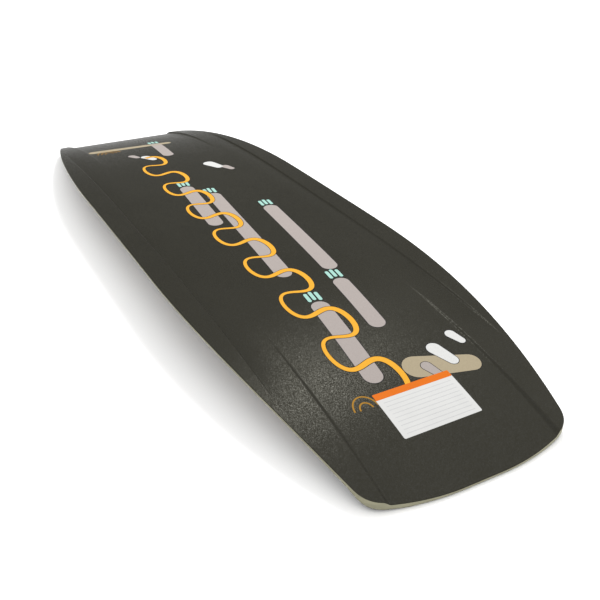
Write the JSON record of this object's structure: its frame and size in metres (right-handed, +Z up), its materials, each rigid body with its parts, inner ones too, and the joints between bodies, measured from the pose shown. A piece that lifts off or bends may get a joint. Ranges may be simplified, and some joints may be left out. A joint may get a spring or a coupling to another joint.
{
  "type": "wakeboard",
  "caption": "Twin-tip wakeboard lying base up: dark plastic base with tip channels and rail chines, cast side walls, wood core between laminates, threaded binding inserts in the deck.",
  "frame": {"origin": "on the floor, below the middle of the board lying base up on its tips", "axes": "+X along the board towards the end with the sticker, +Y to the right rail, +Z up out of the base"},
  "size_m": [1.42, 0.4282, 0.0757],
  "materials": {
    "base_plastic": "dark sintered plastic with a fine grain",
    "laminate": "glass fibre and resin",
    "core_wood": "bare light wood",
    "block_wood": "bare dense wood",
    "insert_metal": "turned stainless steel",
    "top_sheet": "satin printed deck film",
    "side_wall": "cast olive side wall",
    "sticker": "white vinyl with a coloured band"
  },
  "bodies": {
    "root": {"base_sheet": "base_plastic", "base_laminate": "laminate", "deck_laminate": "laminate", "top_sheet": "top_sheet", "rail_left_far": "side_wall", "rail_left_middle": "side_wall", "rail_left_near": "side_wall", "rail_right_far": "side_wall", "rail_right_middle": "side_wall", "rail_right_near": "side_wall", "tip_wall_near": "side_wall", "tip_wall_far": "side_wall", "core_strip_1": "core_wood", "core_strip_2": "core_wood", "core_strip_3": "core_wood", "core_strip_4": "core_wood", "core_strip_5": "core_wood", "insert_block_near_left": "block_wood", "insert_block_near_right": "block_wood", "insert_block_far_left": "block_wood", "insert_block_far_right": "block_wood", "insert_near_left_1": "insert_metal", "insert_near_left_2": "insert_metal", "insert_near_left_3": "insert_metal", "insert_near_left_4": "insert_metal", "insert_near_left_5": "insert_metal", "insert_near_left_6": "insert_metal", "insert_near_right_1": "insert_metal", "insert_near_right_2": "insert_metal", "insert_near_right_3": "insert_metal", "insert_near_right_4": "insert_metal", "insert_near_right_5": "insert_metal", "insert_near_right_6": "insert_metal", "insert_far_left_1": "insert_metal", "insert_far_left_2": "insert_metal", "insert_far_left_3": "insert_metal", "insert_far_left_4": "insert_metal", "insert_far_left_5": "insert_metal", "insert_far_left_6": "insert_metal", "insert_far_right_1": "insert_metal", "insert_far_right_2": "insert_metal", "insert_far_right_3": "insert_metal", "insert_far_right_4": "insert_metal", "insert_far_right_5": "insert_metal", "insert_far_right_6": "insert_metal", "sticker": "sticker"}
  },
  "joints": []
}
